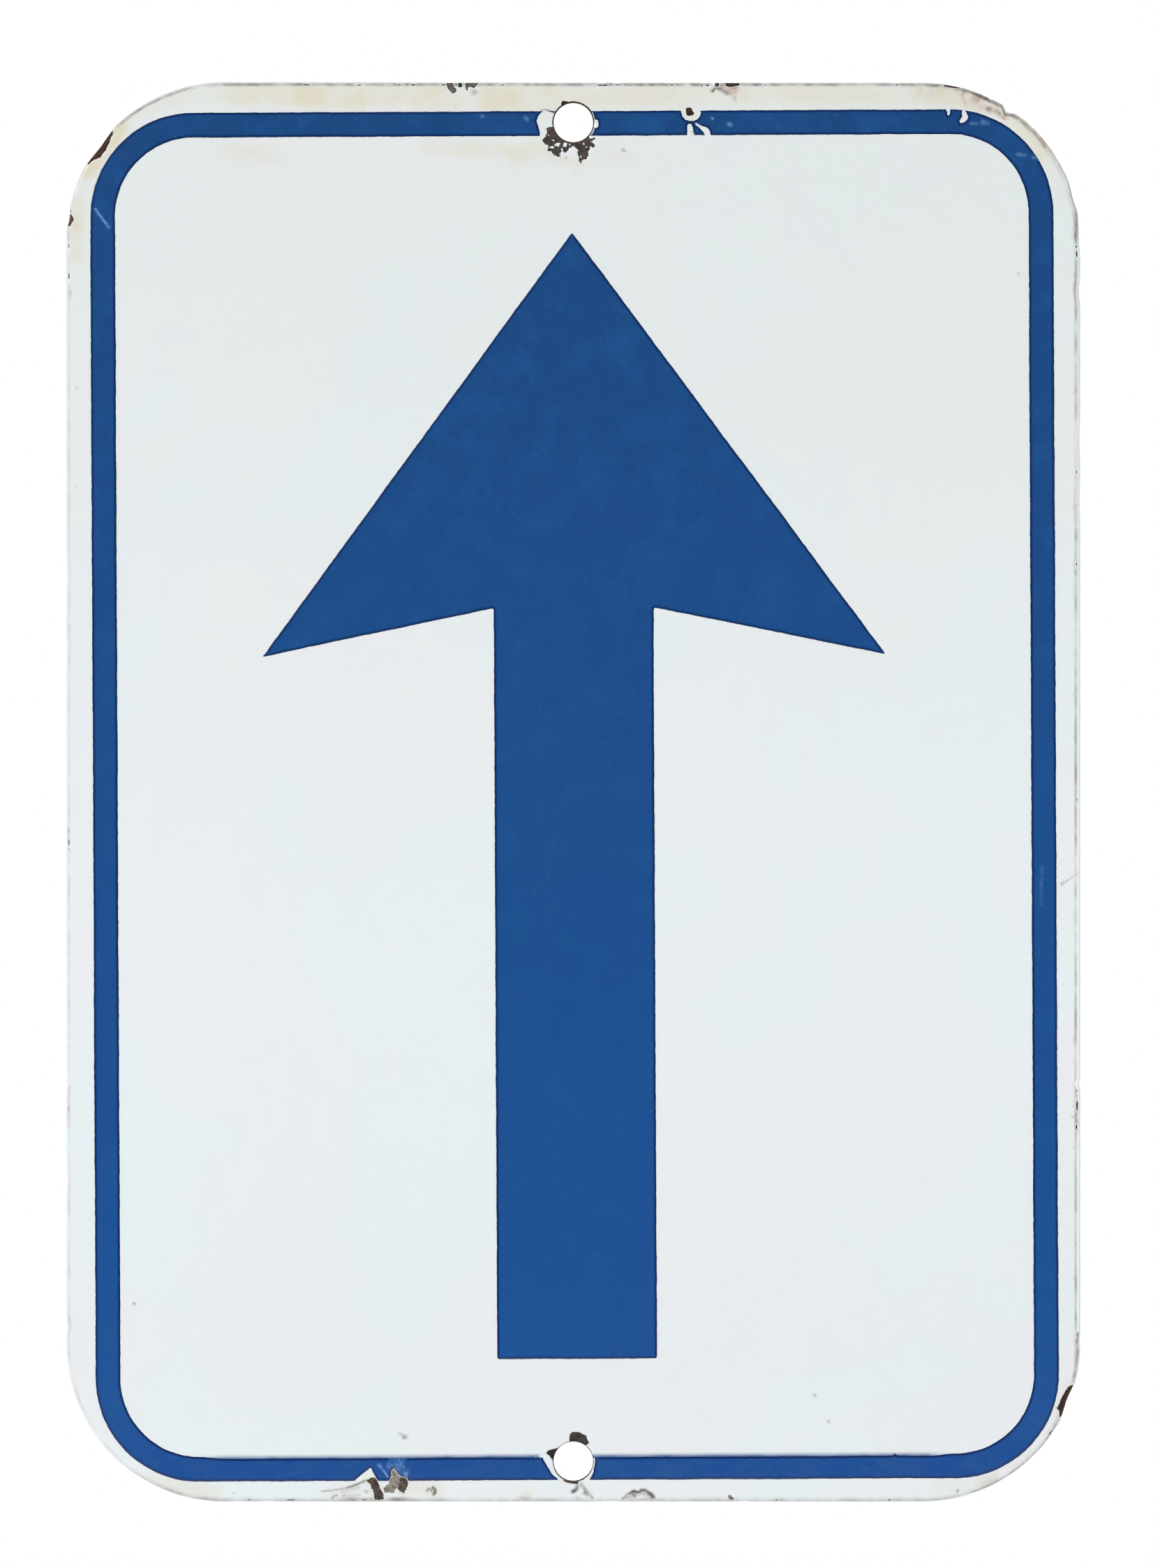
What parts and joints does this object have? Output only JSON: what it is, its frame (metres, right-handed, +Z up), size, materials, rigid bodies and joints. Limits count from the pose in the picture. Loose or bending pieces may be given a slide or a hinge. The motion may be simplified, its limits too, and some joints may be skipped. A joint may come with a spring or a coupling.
{
  "type": "enamel sign",
  "caption": "Upright enamelled steel sign with rounded corners, a blue border line, a straight-ahead arrow and two fixing holes.",
  "frame": {"origin": "middle of the back face, which is also the middle between the two fixing holes", "axes": "+Z up along the sign's height, +X to the right as seen from the front, the face looks along -Y"},
  "size_m": [0.254, 0.0018, 0.3556],
  "materials": {
    "ground_coat": "satin",
    "white_coat": "gloss",
    "blue_print": "gloss"
  },
  "bodies": {
    "root": {"steel_sheet": "ground_coat", "white_enamel": "white_coat", "blue_border": "blue_print", "blue_arrow": "blue_print"}
  },
  "joints": []
}
